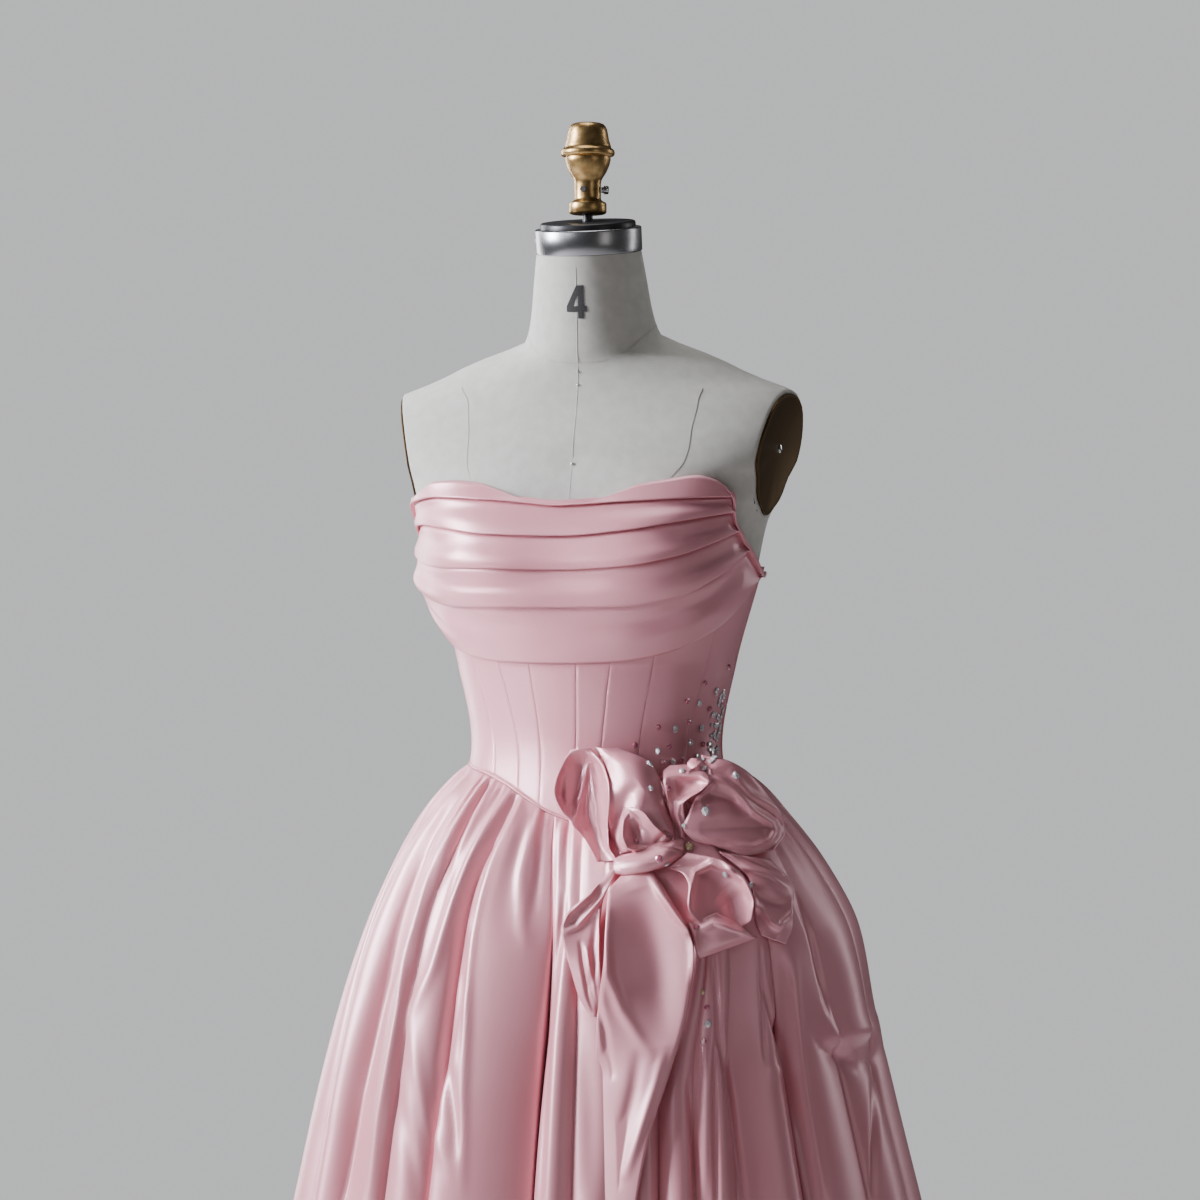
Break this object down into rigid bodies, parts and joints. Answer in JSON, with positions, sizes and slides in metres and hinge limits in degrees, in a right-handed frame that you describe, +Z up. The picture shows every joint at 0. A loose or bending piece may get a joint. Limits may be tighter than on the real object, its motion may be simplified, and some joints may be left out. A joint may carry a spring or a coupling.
{
  "type": "evening dress on a dress form",
  "caption": "Strapless satin evening gown with a pleated bust, gathered skirt and hip rosette, worn on a limbless dress form with its stand.",
  "frame": {"origin": "on the floor, at the middle of the stand base's underside, on the pole's axis", "axes": "+Z up along the pole; the gown's front faces -Y; +X is the wearer's left"},
  "size_m": [0.9219, 0.8346, 1.6695],
  "materials": {
    "pink_satin": "satin with a soft sheen",
    "linen": "matt woven linen",
    "brass": "polished",
    "dark_bronze": "dark, antiqued",
    "brushed_chrome": "brushed",
    "black_paint": "satin black",
    "steel": "bright"
  },
  "bodies": {
    "root": {"bodice_back_right": "pink_satin", "bodice_back_side_right": "pink_satin", "bodice_side_right": "pink_satin", "bodice_side_front_right": "pink_satin", "bodice_front_right": "pink_satin", "bodice_centre_front_right": "pink_satin", "bodice_centre_front_left": "pink_satin", "bodice_front_left": "pink_satin", "bodice_side_front_left": "pink_satin", "bodice_side_left": "pink_satin", "bodice_back_side_left": "pink_satin", "bodice_back_left": "pink_satin", "bust_drape": "pink_satin", "back_placket": "pink_satin", "skirt_front_right": "pink_satin", "skirt_front_left": "pink_satin", "skirt_side_left": "pink_satin", "skirt_back_left": "pink_satin", "skirt_back_right": "pink_satin", "skirt_side_right": "pink_satin", "hip_rosette": "pink_satin", "form_body": "linen", "arm_plate_left": "dark_bronze", "arm_plate_right": "dark_bronze", "neck_band": "brushed_chrome", "neck_cap": "black_paint", "neck_rod": "black_paint", "finial": "brass", "finial_screw": "steel", "stand_pole": "black_paint", "stand_base": "black_paint"}
  },
  "joints": []
}
